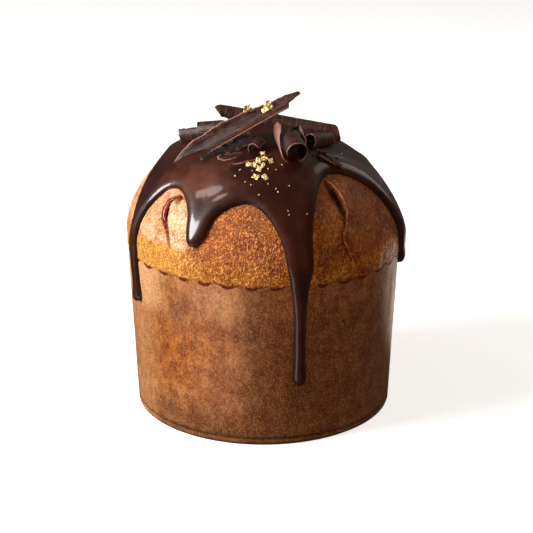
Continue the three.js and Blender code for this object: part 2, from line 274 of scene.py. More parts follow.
def make_piece(name, mesh, material, replaced=(), values=None):
    """An object, in metres, from a mesh modelled in millimetres. It rides on the body root."""
    bmesh.ops.scale(mesh, vec=(MM, MM, MM), verts=mesh.verts)
    data = to_data(name, mesh)
    for face in data.polygons:
        face.use_smooth = True
    for key, numbers in (values or {}).items():
        data.attributes.new(key, "FLOAT", "POINT").data.foreach_set("value", numbers)
    data.materials.append(material)
    piece = bpy.data.objects.new(name, data)
    scene.collection.objects.link(piece)
    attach(piece, "root")
    if replaced:
        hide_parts(*replaced)
    data.calc_loop_triangles()
    print(f"{name}: {len(data.vertices)} vertices, {len(data.loop_triangles)} triangles")
    return piece


# %% [markdown]
# ## Writing shaders as sums
#
# A material that varies over a surface needs many small nodes. The two classes below let us
# write them as Python: a Value wraps a socket, so that a * 2 + b adds the Math nodes, and a
# Surface makes every other node. All patterns read Object coordinates in metres, so the size
# of a pattern is given in millimetres and turned into a scale here.

# %% Shader helpers
class Value:
    """One output socket. Sums on it add Math nodes to its surface."""

    def __init__(self, surface, socket):
        self.surface, self.socket = surface, socket

    def math(self, operation, *numbers):
        settings = {"operation": operation}
        return self.surface.node("ShaderNodeMath", settings, dict(enumerate(numbers)))

    def __add__(self, other):
        return self.math("ADD", self, other)

    def __sub__(self, other):
        return self.math("SUBTRACT", self, other)

    def __rsub__(self, other):
        return self.math("SUBTRACT", other, self)

    def __mul__(self, other):
        return self.math("MULTIPLY", self, other)

    __radd__, __rmul__ = __add__, __mul__

    def between(self, low, high):
        """0 below low, 1 above high, and smooth between them."""
        return self.surface.node(
            "ShaderNodeMapRange", {"interpolation_type": "SMOOTHSTEP"},
            {"Value": self, "From Min": low, "From Max": high})


def linear(code):
    """A colour as Blender wants it, from the six-digit code that paint programs show."""
    parts = [int(code[i:i + 2], 16) / 255 for i in (0, 2, 4)]
    return (*[p / 12.92 if p < 0.04045 else ((p + 0.055) / 1.055) ** 2.4 for p in parts], 1.0)


class Surface:
    """A material and its node tree."""

    def __init__(self, name):
        self.material = bpy.data.materials.new(name)
        self.material.use_nodes = True
        self.tree = self.material.node_tree
        self.tree.nodes.clear()
        self.place = self.node("ShaderNodeTexCoord", {}, {}, "Object")

    def node(self, kind, settings, sockets, output=0):
        made = self.tree.nodes.new(kind)
        for key, value in settings.items():
            setattr(made, key, value)
        for key, value in sockets.items():
            socket = self.find(made.inputs, key)
            if isinstance(value, Value):
                self.tree.links.new(value.socket, socket)
            else:
                socket.default_value = value
        return Value(self, self.find(made.outputs, output))

    @staticmethod
    def find(sockets, key):
        if isinstance(key, int):
            return sockets[key]
        return next(s for s in sockets if key in (s.identifier, s.name))

    def mix(self, share, first, second):
        """A colour between two others, which are sockets or six-digit codes."""
        first, second = (linear(c) if isinstance(c, str) else c for c in (first, second))
        return self.node(
            "ShaderNodeMix", {"data_type": "RGBA"},
            {"Factor_Float": share, "A_Color": first, "B_Color": second}, "Result_Color")

    def layers(self, colour, *coats):
        """A colour with others laid over it, each by its own share."""
        for share, coat in coats:
            colour = self.mix(share, colour, coat)
        return colour

    def pattern(self, kind, size, seed, stretch, sockets, output):
        """A texture node whose pattern is about size millimetres wide."""
        scale = [1 / (size * MM * factor) for factor in stretch]
        place = self.node("ShaderNodeMapping", {},
                          {"Vector": self.place, "Location": (seed, seed, seed), "Scale": scale})
        return self.node(kind, {}, {"Vector": place, "Scale": 1.0, **sockets}, output)

    def noise(self, size, detail, rough, stretch=(1, 1, 1), seed=0.0, twist=0.0):
        """Noise with lumps of about size millimetres, drawn out along an axis by stretch."""
        sockets = {"Detail": detail, "Roughness": rough, "Distortion": twist}
        return self.pattern("ShaderNodeTexNoise", size, seed, stretch, sockets, "Fac")

    def cells(self, size, seed):
        """Distance to the nearest of many scattered points, about size millimetres apart."""
        return self.pattern("ShaderNodeTexVoronoi", size, seed, (1, 1, 1), {}, "Distance")

    def painted(self, name):
        """A number that the mesh carries on its vertices."""
        return self.node("ShaderNodeAttribute", {"attribute_name": name}, {}, "Fac")

    def patchy(self, name, noise, reach, low, high):
        """A painted number that noise moves up and down, so that its border wanders."""
        return (self.painted(name) + (noise - 0.5) * reach).between(low, high)

    def bump(self, height, depth):
        """Relief from a height between 0 and 1, at most depth millimetres deep."""
        return self.node("ShaderNodeBump", {},
                         {"Height": height, "Distance": depth * MM, "Strength": 1.0})

    def finish(self, **sockets):
        named = {key.replace("_", " "): value for key, value in sockets.items()}
        shader = self.node("ShaderNodeBsdfPrincipled", {}, named)
        out = self.tree.nodes.new("ShaderNodeOutputMaterial")
        self.tree.links.new(shader.socket, out.inputs["Surface"])
        return self.material


# %% [markdown]
# ## The crust
#
# Baked dough has three looks at once: a matt golden skin where it stayed in the paper's
# shelter, a browned and finely pitted skin on the dome, and pale torn crumb where the crust
# split in the oven. The mesh carries numbers that say where each one is, and the shader mixes
# them with noise, so that the borders wander. Other numbers paint shade on the right side, in
# the splits and under the bread's lip, and paint light on the left side. Small highlights and
# shade in the hollows of the bumps are painted into the colour too.

# %% Crust material
def crust_material():
    s = Surface("crust")
    grain = s.noise(2.2, 3, 0.6, seed=4)
    wrinkle = s.noise(1.2, 2, 0.5, stretch=(1, 1, 1.6), seed=6, twist=1.8)
    blotch = s.noise(10, 3, 0.6, seed=9)
    pits = s.cells(1.2, seed=2)
    uneven = wrinkle + (grain - 0.5) * 0.3
    # Painted highlights: glint lightens the colour on the tops of the bumps. Painted shade: crease darkens
    # their hollows.
    glint, crease_shade = uneven.between(0.5, 0.62), uneven.between(0.5, 0.36)
    # Painted shade in small pits of the torn crumb.
    hole_shade = s.cells(2.3, seed=7).between(0.22, 0.1)

    def baked(borders, first, second):
        return s.mix(blotch.between(*borders), first, second)

    broad, narrow = (0.36, 0.64), (0.4, 0.6)
    brown = s.mix(glint * 0.62, baked(broad, "863e0b", "aa5613"), "f6a652")
    # The golden skin is lightened on the left side, where the light falls, as painted light.
    golden = s.layers(baked(broad, "964504", "b8680f"),
                      (s.painted("left") * 0.55, "eca444"), (glint * 0.62, "ffc466"))
    tan = s.mix(glint * 0.5, baked(narrow, "d08a50", "eab080"), "ffe0b8")
    torn = s.layers(baked(narrow, "e0a468", "f4cc98"),
                    (glint * 0.6, "fff0dc"), (hole_shade * 0.7, "9a5222"))
    # Painted shade: the right side of the loaf, away from the light, gets darker colours, with painted
    # highlights on its bumps.
    shaded_right = s.mix(glint * 0.45, baked(broad, "743008", "985010"), "c88a40")
    # The inside of a split is red, darkened as painted shade, and darker still on the shaded right side.
    gap = s.mix(s.painted("shaded_right"), "6a1408", "2c0a04")
    colour = s.layers(
        brown,
        # Painted shade on the right side of the loaf.
        (s.painted("shaded_right"), shaded_right),
        (s.patchy("golden", blotch, 0.9, 0.15, 0.7), golden),
        (s.patchy("tan", blotch, 0.6, 0.2, 0.8), tan),
        (s.patchy("torn", blotch, 0.9, 0.25, 0.75), torn),
        # Painted shade in the hollows between the bumps.
        (crease_shade * 0.45, "5c2206"),
        # Painted shade under the bread's lip, just above the paper's rim.
        (s.patchy("edge", grain, 0.8, 0.3, 0.9), "6a2408"),
        (s.patchy("lip", grain, 1.2, 0.25, 0.75) * 0.85, "de8a58"),
        (s.painted("gap"), gap))
    relief = s.bump(pits * 0.3 + grain * 0.5 + wrinkle * 0.9, 1.0)
    return s.finish(Base_Color=colour, Roughness=0.52 - 0.16 * glint, Normal=relief,
                    Specular_IOR_Level=0.35)


# %% [markdown]
# ## The loaf
#
# The loaf is one closed body, down to the base of the case. Only the part between the glaze
# and the paper shows, so that is where the rows of the lattice are close together. Two splits
# opened as the dough rose. Their faces are divided finely before anything is moved, and then
# a valley with raised lips is pressed along each one.

# %% Model the loaf
clearance = 0.1  # between the bread and the paper
foot, base_bevel = paper_wall + clearance, 1.2
lip_width = 0.75  # how far the bread bulges out at the rim
skin_start, skin_pitch = 34.0, 0.66
neck_rows, columns_round = 12, 600
near_split = 3.2  # millimetres beside a split in which the faces are divided
# The side inside the case: stations below the widest ring and the heights that they stand for.
side_steps = np.array([1.35, 2.0, 2.9, 3.0])
side_heights = [76, 30, foot + base_bevel, foot]
heart = np.array([0, 0, wide_height - 20])  # outward is away from this point


def neck_top(angle):
    return rim_height(angle) + 0.15


def loaf_radius(angle, z):
    """The bread bulges over the rim at once, then swells slowly to its widest ring."""
    above = z - neck_top(angle)
    in_case = paper_radius(z) - paper_wall - clearance
    lip = lip_width * quarter_round(above / 1.4)
    share = np.clip(above / (wide_height - neck_top(angle)), 0, 1)
    widest = wide_radius + swelling(angle, math.pi / 2)
    return in_case + lip + (widest - in_case - lip_width) * smooth(share)


crown_stations = np.linspace(2, skin_start, 9)[:-1]
skin_stations = np.arange(skin_start, dome_arc, skin_pitch)
neck_stations = dome_arc + np.linspace(0, 1, neck_rows)
stations = np.concatenate([crown_stations, skin_stations, neck_stations, dome_arc + side_steps])


def loaf_point(angle, station, out):
    """Stations up to dome_arc are distances down the crust. Past it they count shares."""
    on_dome = dome_point(angle, np.interp(station, down_meridian, rises), out)
    below = station - dome_arc
    neck_z = blend(wide_height, neck_top(angle), np.clip(below, 0, 1))
    wall_z = np.interp(below, [1, *side_steps], [0, *side_heights])
    z = np.where(below <= 1.0001, neck_z, np.minimum(wall_z, neck_z))
    inset = np.where(below > 2.95, base_bevel, 0)
    side = polar(angle, loaf_radius(angle, z) + out * (below <= 1.2) - inset, z)
    return np.where((below > 0)[:, None], side, on_dome)


def surface_line(turns_and_heights, count=160):
    """Evenly spaced points on the dome through a few (degrees round, height) pairs."""
    turns, heights = np.array(turns_and_heights, float).T
    share = np.linspace(0, 1, count) * (len(turns) - 1)
    knots = np.arange(len(turns))
    turn, height = np.interp(share, knots, turns), np.interp(share, knots, heights)
    turn, height = (np.convolve(np.pad(knot, 7, "edge"), np.ones(15) / 15, "valid")
                    for knot in (turn, height))
    return dome_point(np.radians(turn), rise_at(height))


def from_line(points, line):
    """Distance from a line, share along it, and distance to its right as seen from outside."""
    gap = points[:, None, :] - line[None, :, :]
    nearest = np.argmin((gap ** 2).sum(-1), axis=1)
    offset = gap[np.arange(len(points)), nearest]
    forward = np.gradient(line, axis=0)[nearest]
    right = unit(np.cross(points - heart, forward))
    return np.linalg.norm(offset, axis=1), nearest / (len(line) - 1), (offset * right).sum(1)


left_split = surface_line([
    (-43.7, 117.6), (-47.5, 117.3), (-50.5, 115), (-50.6, 111.8), (-49.8, 109), (-47.2, 106.2),
    (-44.6, 103.2), (-42.9, 99.8), (-41.2, 96)])
right_split = surface_line([
    (39.6, 124.5), (41, 120.5), (41.5, 116.5), (40.5, 111.7), (38.2, 106.7), (35, 102.6),
    (35, 98.5), (36.5, 93.6), (37.5, 90.2)])
left_widths = [1.5, 0.5, 0.8, 1.15, 1.15, 0.75, 0.5, 0.45, 0.2]  # half of each, from the top down
right_widths = [0.5, 1.5, 1.6, 0.9, 0.35, 0.25, 0.4, 0.2, 0.2]


def split_relief(points, line, widths, depth, lip, steep):
    """The valley of a split, steep on one side, and how far inside it each point is."""
    raised, inside = np.zeros((2, len(points)))
    close = near_box(points, line, 6)
    raised[close], inside[close] = valley(points[close], line, widths, depth, lip, steep)
    return raised, inside


def near_box(points, line, margin):
    return np.all((points > line.min(0) - margin) & (points < line.max(0) + margin), axis=1)


def valley(points, line, widths, depth, lip, steep):
    far, along, side = from_line(points, line)
    half = np.interp(along, np.linspace(0, 1, len(widths)), widths)
    across = steep * side + 0.5 * clouds(points, 2.6, 5) + 0.35 * clouds(points, 1.0, 6)
    beyond = np.sqrt(np.maximum(far ** 2 - side ** 2, 0))
    strength = np.clip(half / max(widths), 0.15, 1) ** 0.7 * smooth(1 - beyond / 1.6)
    wall, slope = smooth((across + half) / 0.5), smooth((across - half) / (0.5 + 2.4 * half))
    broken = 0.5 + 0.5 * smooth(0.5 + 1.6 * clouds(points, 2.2, 9))
    ridge = lip * broken * bell((across + half + 0.4) / 0.42)
    inside = strength * wall * (1 - smooth((across - half) / 0.5))
    return strength * (ridge - depth * wall * (1 - slope)), inside


def make_loaf():
    mesh = rolled_lattice(len(stations), columns_round)
    rows = np.arange(len(stations))

    def lattice():
        points = read_points(mesh)
        return angle_of(points), np.interp(-points[:, 2], rows, stations)

    for line in (left_split, right_split):
        angle, station = lattice()
        where = loaf_point(angle, station, 0 * angle)
        close = near_box(where, line, near_split)
        close[close] = from_line(where[close], line)[0] < near_split
        mesh.verts.index_update()
        edges = [e for e in mesh.edges if all(close[v.index] for v in e.verts)]
        bmesh.ops.subdivide_edges(mesh, edges=edges, cuts=2, use_grid_fill=True)

    angle, station = lattice()
    plain = loaf_point(angle, station, 0 * angle)
    shown = (station > skin_start - 3) & (station < dome_arc + 1.01)
    points = plain[shown]
    relief = (0.4 * clouds(points, 12, 1) + 0.12 * clouds(points, 4, 2)
              + 0.1 * clouds(points, 1.6, 3))
    left, left_gap = split_relief(points, left_split, left_widths, 2.7, 0.35, 1)
    right, right_gap = split_relief(points, right_split, right_widths, 2.2, 0.75, -1)
    out = np.zeros(len(plain))
    out[shown] = relief + left + right
    place_points(mesh.verts, loaf_point(angle, station, out))
    close_ends(mesh)

    turn = np.degrees(angle[shown])
    z = points[:, 2]
    left_side = from_line(points, left_split)[2]
    around = angle[shown]
    # How strongly shade is painted under the bread's lip: most in the troughs of the scallops.
    rim_shade_share = 0.6 + 0.6 * (rim_height(around, 0) - rim_height(around)) / scallop_height
    front = smooth((turn + 150) / 40)
    left_face = smooth((-24 - turn) / 10) * front
    sheltered = (0.42 * smooth((98 - z) / 10)
                 + 0.58 * smooth((109 - z) / 12) * smooth((-18 - turn) / 20))
    painted = {
        # Painted shade on the right side of the loaf, away from the light.
        "shaded_right": smooth((turn - 16) / 12) * smooth((150 - turn) / 40),
        "golden": sheltered * front * (turn < 120),
        "tan": smooth((0.5 - left_side) / 2) * smooth((z - 92) / 10) * left_face,
        "torn": smooth(left_side / 1.6) * smooth((22 - left_side) / 8) * smooth((z - 90) / 14)
                * left_face,
        # Painted shade under the bread's lip, just above the paper's rim.
        "edge": np.clip(rim_shade_share, 0, 1) * smooth((neck_top(around) + 3 - z) / 2),
        # The inside of the splits, which the crust's colour darkens as painted shade.
        "gap": np.maximum(left_gap, right_gap),
        "lip": np.clip(right / 0.5, 0, 1),
        # Painted light on the left side of the loaf, where the lamp shines.
        "left": smooth((-16 - turn) / 26) * front,
    }
    values = {key: np.zeros(len(plain)) for key in painted}
    for key, numbers in painted.items():
        values[key][shown] = numbers
    print(f"the splits are {-left.min():.1f} and {-right.min():.1f} mm deep")
    return make_piece("loaf_crust", mesh, crust_material(), ["loaf"], values)


make_loaf()


# %% Candied fruit that shows in the splits
def fruit_material():
    s = Surface("candied_fruit")
    flesh = s.noise(1.2, 2, 0.5)
    colour = s.mix(flesh.between(0.35, 0.65), "641005", "b4300e")
    return s.finish(Base_Color=colour, Roughness=0.3, Normal=s.bump(flesh, 0.2),
                    Specular_IOR_Level=0.5, Coat_Weight=0.4, Coat_Roughness=0.1)


candied = fruit_material()


def make_fruit(name, line, start, stop, thick, deep):
    """A strip of fruit a little under the crust, along part of a split."""
    rows, columns = 26, 12
    mesh = rolled_lattice(rows, columns)
    lattice = read_points(mesh)
    around = angle_of(lattice)
    share = -lattice[:, 2] / (rows - 1)
    step = blend(start, stop, share) * (len(line) - 1)
    middle, forward = (
        np.stack([np.interp(step, np.arange(len(line)), column) for column in along.T], -1)
        for along in (line, np.gradient(line, axis=0)))
    outward = unit(middle - heart)
    across = np.cross(unit(forward), outward)
    east, north = np.sin(around)[:, None], np.cos(around)[:, None]
    radius = (thick * (0.12 + 0.88 * np.sin(math.pi * share) ** 0.6)
              + 0.15 * clouds(middle + across * east, 1.3, 3))
    points = middle - deep * outward + radius[:, None] * (north * outward + east * across)
    place_points(mesh.verts, points)
    close_ends(mesh)
    return make_piece(name, mesh, candied)


make_fruit("candied_fruit_left", left_split, 0.14, 0.6, 0.95, 1.15)
make_fruit("candied_fruit_top", left_split, 0.0, 0.07, 0.8, 1.1)

# %% [markdown]
# ## The baking case
#
# The case is greaseproof paper, so butter from the dough has made it half clear in patches:
# tan where it is dry, orange where it is soaked. Its rim is cut in scallops, and a wall like
# this never hangs perfectly round, so it gets shallow dents and upright creases.

# %% Paper material
def paper_material():
    s = Surface("case_paper")
    fibre = s.noise(0.6, 3, 0.65, stretch=(1, 1, 1.5), twist=0.5)
    grain = s.noise(1.5, 3, 0.65, seed=5)
    mottle = s.noise(6, 4, 0.6, seed=3)
    patch = s.noise(17, 3, 0.55, seed=8)
    drawn = s.noise(3.6, 3, 0.6, stretch=(1, 1, 4), seed=12)
    blot = mottle.between(0.32, 0.68)
    dry, soaked = s.mix(blot, "844620", "bc7c48"), s.mix(blot, "7c3a0c", "ac601a")
    bruise = (s.painted("bruise") + (grain - 0.5) * 0.4 + (mottle - 0.5) * 0.8).between(0.15, 0.8)
    shade = s.painted("shade") + (patch - 0.5) * 1.1 + (mottle - 0.5) * 0.5
    colour = s.layers(
        dry,
        (s.patchy("soaked", patch, 1.3, 0.2, 0.8), soaked),
        # Paler paper in patches, and painted highlight streaks down the right edge.
        (s.painted("pale_and_lit"), "dca470"),
        (bruise * 0.6, "56281a"),
        (shade.between(0, 1) * 0.7, "461803"),
        (grain.between(0.54, 0.38) * 0.3, "46200a"),
        (fibre.between(0.5, 0.6) * 0.2, "f0b884"),
        (fibre.between(0.48, 0.38) * 0.3, "50260c"),
        (drawn.between(0.52, 0.68) * 0.26, "4c240c"),
        (drawn.between(0.44, 0.32) * 0.07, "e0a46c"),
        # Painted shade in the groove of the seam and along the foot of the wall, most on the right.
        (s.painted("seam"), "200c04"))
    relief = s.bump(fibre * 0.6 + grain * 0.6 + mottle * 0.5, 0.25)
    return s.finish(Base_Color=colour, Roughness=0.4 + 0.15 * mottle, Normal=relief,
                    Specular_IOR_Level=0.35)


# %% Model the case
seam_height, seam_depth, corner = 3.4, 0.45, 1.2
rim_mark = 999  # stands for the scalloped rim in a list of heights
level_below, scallops_from = 79, 78  # rows above the first are spread from the second to the rim
wall_rows = np.array([0, 0.03, 0.5, 1.2, 2.2, 2.9, 3.4, 3.9, 4.6, 5.6, *np.linspace(8, 80, 44)])


def wall_inset(z):
    return corner * (1 - quarter_round(z / corner)) + seam_depth * bell((z - seam_height) / 0.7)


def spot(turn, z, at_turn, at_z, wide, high):
    """1 in the middle of a soft round patch of the wall, and 0 far from it."""
    return bell((turn - at_turn) / wide, (z - at_z) / high)


def make_case():
    inner_rows = np.array([81.0, 60.0, 30.0, 8.0, 1.6])
    heights = np.concatenate([wall_rows, [rim_mark, rim_mark], inner_rows, [paper_wall]])
    walls = np.concatenate([np.zeros(len(wall_rows) + 1), np.ones(len(inner_rows) + 2)])
    mesh = rolled_lattice(len(heights), scallops * 14)
    lattice = read_points(mesh)
    angle = angle_of(lattice)
    row = np.round(-lattice[:, 2]).astype(int)
    height, on_outside = heights[row], walls[row] == 0
    top = rim_height(angle)
    scalloped = blend(scallops_from, top, (height - scallops_from) / 4)
    z = np.select([height == rim_mark, height > level_below], [top, scalloped],
                  np.minimum(height, top))
    dents = 0.22 * clouds(polar(angle, paper_radius(z), z), 26, 12) * smooth(z / 12)

    def upright(lengthen, size, seed):
        """Noise that hardly changes with height, as creases in paper do."""
        return clouds(polar(angle, 40.0, z * lengthen), size, seed)

    turn = np.degrees(angle)
    creased = smooth((turn - 62) / 14) * smooth((110 - turn) / 10) + 0.18
    shift = dents + 0.34 * upright(0.12, 3.2, 14) * creased * smooth(z / 20) - 0.15
    radius = paper_radius(z) + shift - wall_inset(z) * on_outside - paper_wall * walls[row]
    radius = np.where(row == len(heights) - 1, radius - corner, radius)
    place_points(mesh.verts, polar(angle, radius, z))
    close_ends(mesh)
    mesh.verts.index_update()
    cut_rows = (len(wall_rows), len(wall_rows) + 1)
    for edge in mesh.edges:
        first, second = (row[v.index] for v in edge.verts)
        edge.smooth = not (first == second and first in cut_rows)
    right = smooth((turn + 19) / 20) * smooth((150 - turn) / 40)
    low = 0.7 * smooth((32 - z) / 24) * smooth((turn + 62) / 20)
    values = {
        "soaked": 0.28 + 0.6 * spot(turn, z, -48, 40, 26, 20) - 0.25 * smooth((z - 50) / 25),
        "shade": np.maximum(right * (1 - 0.3 * smooth((z - 58) / 16)), low),
        # Paler paper in a spot, at the top left and down the left side, and painted highlight streaks down
        # the right edge.
        "pale_and_lit": 0.55 * spot(turn, z, -17, 72, 9, 8)
                + 0.6 * smooth((z - 56) / 14) * smooth((-42 - turn) / 10)
                + 0.3 * smooth((-46 - turn) / 12)
                + smooth((turn - 68) / 10) * smooth((120 - turn) / 24)
                * smooth(0.5 + 1.4 * upright(0.06, 2.4, 30)),
        "bruise": 0.6 * spot(turn, z, -34, 71, 6, 6) + 0.8 * spot(turn, z, -39, 62, 5, 6)
                  + 0.8 * spot(turn, z, -44, 13, 2, 6) + 0.5 * spot(turn, z, -20, 34, 8, 14),
        # Painted shade in the groove of the seam and along the foot of the wall, most on the right.
        "seam": 0.75 * bell((z - seam_height) / 0.55)
                + 0.9 * smooth((1.8 - z) / 1.2) * on_outside * smooth((turn + 70) / 80),
    }
    return make_piece("baking_case", mesh, paper_material(), ["paper_case"], values)


make_case()

# %% [markdown]
# ## The glaze
#
# Poured chocolate has a rounded edge about as thick as a pencil line, a slightly raised bead
# behind it, and drips that swell at their tips. A mesh cut from a grid would have a jagged
# edge, so the outline comes first, as one smooth line. A flat grid is laid over the dome like
# a map, the grid's points nearest the outline are pulled onto it, and what is outside goes.
# The distance from the outline then says how thick the glaze is at every point.

# %% Glaze material
def glaze_material():
    s = Surface("chocolate_glaze")
    slow = s.noise(16, 2, 0.5)
    fine = s.noise(1.1, 2, 0.5, seed=3)
    patch = s.noise(7, 2, 0.5, seed=11)
    colour = s.layers(
        s.mix(slow.between(0.3, 0.7), "260b04", "3a150a"),
        # Painted sheen: the upper left of the dome is painted a lighter, redder brown, where a soft
        # highlight falls.
        (s.patchy("painted_sheen", patch, 1.2, 0.2, 1.1) * 0.5, "74422e"),
        # Painted shade along the edge of the glaze.
        (s.painted("edge_shade") * 0.8, "0a0302"),
        # Painted shadow on the glaze under the shavings.
        (s.painted("heap_shadow") * 0.85, "060201"))
    relief = s.bump(slow * 0.9 + patch * 0.6 + fine * 0.02, 0.36)
    return s.finish(Base_Color=colour, Roughness=0.34 + 0.15 * slow, Normal=relief,
                    Specular_IOR_Level=0.25, Coat_Weight=0.55, Coat_Roughness=0.11)


# %% The outline of the glaze
# Each drip: angle and height of its root, its widths at root, neck and bulb, and its tip.
drips = [
    dict(angle=-66.4, root=93, wide=6.6, neck=4.8, bulb=6.8, tip_angle=-64.6, tip=61),
    dict(angle=-28.6, root=105, wide=12.4, neck=9, bulb=8.6, tip_angle=-29.4, tip=98.7),
    dict(angle=14.6, root=93, wide=13.2, neck=5.8, bulb=7.4, tip_angle=15, tip=31.5),
    dict(angle=78.8, root=92, wide=12, neck=7.4, bulb=9, tip_angle=84, tip=73),
    dict(angle=118, root=98, wide=9, neck=6.4, bulb=8, tip_angle=118, tip=86),
    dict(angle=152, root=94, wide=11, neck=5.6, bulb=7.6, tip_angle=153, tip=50),
    dict(angle=190, root=103, wide=13, neck=9, bulb=9, tip_angle=190, tip=95),
    dict(angle=226, root=94, wide=9, neck=6, bulb=7.6, tip_angle=224, tip=72),
]
# The top of the arch that follows each drip: its angle, its height and how square it is.
arches = [(-49, 120.2, 2), (-7, 118.3, 2), (45.5, 126, 2.2), (96, 119, 2),
          (135, 123, 2), (171, 118, 2), (208, 121, 2), (260, 124, 2)]
per_degree = math.radians(wide_radius)  # millimetres


def drip_middle(drip, z):
    """Angle of a drip's middle line, which bends from its root to its tip."""
    down = (drip["root"] - z) / (drip["root"] - drip["tip"])
    return blend(drip["angle"], drip["tip_angle"], smooth(down))


def drip_swell(drip, z):
    """1 in the bulb at a drip's tip, and 0 above it."""
    reach = min(1.9 * drip["bulb"], drip["root"] - drip["tip"])
    return smooth(1 - (z - drip["tip"]) / reach)


def drip_side(index, z, right):
    """Angle of one side of a drip, up to the top of the arch on that side."""
    drip = drips[index]
    turn, peak, power = arches[index] if right else arches[index - 1]
    half = 0.5 * drip["wide"] / per_degree
    reach = ((turn - drip["angle"]) if right else (drip["angle"] - turn)) % 360 - half
    climb = np.clip((z - drip["root"]) / (peak - drip["root"]), 0, 1)
    spread = (1 - climb ** power) ** (1 / power)
    taper = np.clip((drip["root"] - z) / min(30, drip["root"] - drip["tip"]), 0, 1)
    narrowed = blend(drip["wide"], drip["neck"], 1 - (1 - taper) ** 1.7)
    width = blend(narrowed, drip["bulb"], drip_swell(drip, z))
    width *= quarter_round((z - drip["tip"]) / (0.5 * drip["bulb"]))
    out = np.where(z > drip["root"], half + reach * (1 - spread), 0.5 * width / per_degree)
    return drip_middle(drip, z) + (out if right else -out)


def to_map(angle, arc):
    """The flat map: distance down from the crown, in the direction of the angle."""
    return np.stack([arc * np.sin(angle), -arc * np.cos(angle)], -1)


def from_map(flat):
    return angle_of(flat), np.linalg.norm(flat, axis=1)


def degrees_apart(first, second):
    return np.abs((first - second + 180) % 360 - 180)


def glaze_outline():
    """The whole edge of the glaze as one closed, evenly spaced, smoothed line on the map."""
    pieces = []
    ease = 0.5 - 0.5 * np.cos(np.linspace(0, math.pi, 500))
    for index, drip in enumerate(drips):
        following = (index + 1) % len(drips)
        peak = arches[index][1]
        up = blend(drip["tip"], peak, ease)
        down = blend(peak, drips[following]["tip"], ease)[1:-1]
        for side, z, right in ((index, up, True), (following, down, False)):
            pieces.append(to_map(np.radians(drip_side(side, z, right)), arc_at(z)))
    line = np.concatenate([*pieces, pieces[0][:1]])
    along = lengths_along(line)
    even = np.arange(0, along[-1], 0.2)
    line = np.stack([np.interp(even, along, column) for column in line.T], -1)
    for width in (9, 7):
        steps = range(-width, width + 1)
        line = sum(np.roll(line, step, axis=0) for step in steps) / len(steps)
    return line


outline = glaze_outline()
print(f"outline of the glaze: {len(outline)} points")


# %% Lay the grid over the dome and cut it along the outline
def run_radius(angle, z):
    """Radius of what the drips run down: the bread's side, then the paper."""
    share = smooth((z - rim_height(angle, 0) - scallop_height - 0.2) / 6)
    return blend(paper_radius(z), wide_radius + swelling(angle, math.pi / 2), share)


def on_cake(flat, out):
    """The point of the cake's surface under a point of the map, raised by out."""
    angle, arc = from_map(flat)
    z = wide_height - (arc - dome_arc)
    side = polar(angle, run_radius(angle, z) + out, z)
    top = dome_point(angle, np.interp(arc, down_meridian, rises), out)
    return np.where((arc > dome_arc)[:, None], side, top)


outline_tree = kdtree.KDTree(len(outline))
for number, point in enumerate(on_cake(outline, np.zeros(len(outline)))):
    outline_tree.insert(point, number)
outline_tree.balance()
outline_tangent = np.roll(outline, -1, axis=0) - np.roll(outline, 1, axis=0)


def inward_distance(flat):
    """Millimetres in from the outline, below zero outside it, and the nearest outline point."""
    points = on_cake(flat, np.zeros(len(flat)))
    found = [outline_tree.find(p) for p in points]
    near, far = (np.array([f[k] for f in found]) for k in (1, 2))
    offset, tangent = flat - outline[near], outline_tangent[near]
    inside = tangent[:, 0] * offset[:, 1] - tangent[:, 1] * offset[:, 0] > 0
    return np.where(inside, far, -far), near


def drop_parts(mesh, parts, context):
    bmesh.ops.delete(mesh, geom=parts, context=context)


def is_outside(face):
    depths = [v.co.z for v in face.verts]
    return min(depths) < 0 or max(depths) == 0


def cut_grid(pitch):
    """A bmesh of the glaze's area on the map, with its edge on the outline."""
    size = np.abs(outline).max() + 2 * pitch
    count = int(2 * size / pitch)
    mesh = bmesh.new()
    bmesh.ops.create_grid(mesh, x_segments=count, y_segments=count, size=size)
    flat = read_points(mesh)[:, :2]
    angle, arc = from_map(flat)
    beyond = arc > arc_at(np.interp(np.degrees(angle) % 360, *reach_table())) + 3
    drop_parts(mesh, [v for v, far in zip(mesh.verts, beyond) if far], "VERTS")
    flat = read_points(mesh)[:, :2]
    inward, near = inward_distance(flat)
    first, second = edge_ends(mesh).T
    crossing = inward[first] * inward[second] < 0
    first, second = first[crossing], second[crossing]
    share = inward[first] / (inward[first] - inward[second])
    closest = np.full(len(flat), 9.0)
    moved = flat.copy()
    for a, b, t in zip(first, second, share):
        vertex, other, step = (a, b, t) if t < 0.5 else (b, a, 1 - t)
        if step < closest[vertex]:
            closest[vertex] = step
            moved[vertex] = blend(flat[vertex], flat[other], step)
    inward[closest < 9] = 0
    place_points(mesh.verts, np.column_stack([moved, inward]))
    for face in list(mesh.faces):
        depths = [v.co.z for v in face.verts]
        if min(depths) < 0 < max(depths):
            touching = [v for v in face.verts if v.co.z == 0]
            if len(touching) == 2:
                bmesh.utils.face_split(face, *touching)
    drop_parts(mesh, [f for f in mesh.faces if is_outside(f)], "FACES")
    drop_parts(mesh, [v for v in mesh.verts if not v.link_faces], "VERTS")
    return mesh


def reach_table():
    """How low the glaze comes, by degrees round, to keep the grid small."""
    turns = np.arange(0, 361, 1.0)
    lows = np.full(len(turns), 117.0)
    for drip in drips:
        for middle in (drip["angle"], drip["tip_angle"]):
            for reach, low in ((8, drip["tip"]), (30, drip["root"])):
                near = degrees_apart(turns, middle) < reach
                lows = np.minimum(lows, np.where(near, low, 117))
    return turns, lows


# %% Give the glaze its thickness
grid_pitch = 0.7
edge_width, bead_width, bead_height = 3.2, 9.6, 0.45
coat_thickness, drip_thickness, bulb_thickness = 1.75, 2.3, 3.1
stand_off, sunk = 0.3, 0.25  # added to every thickness, and how deep the underside lies


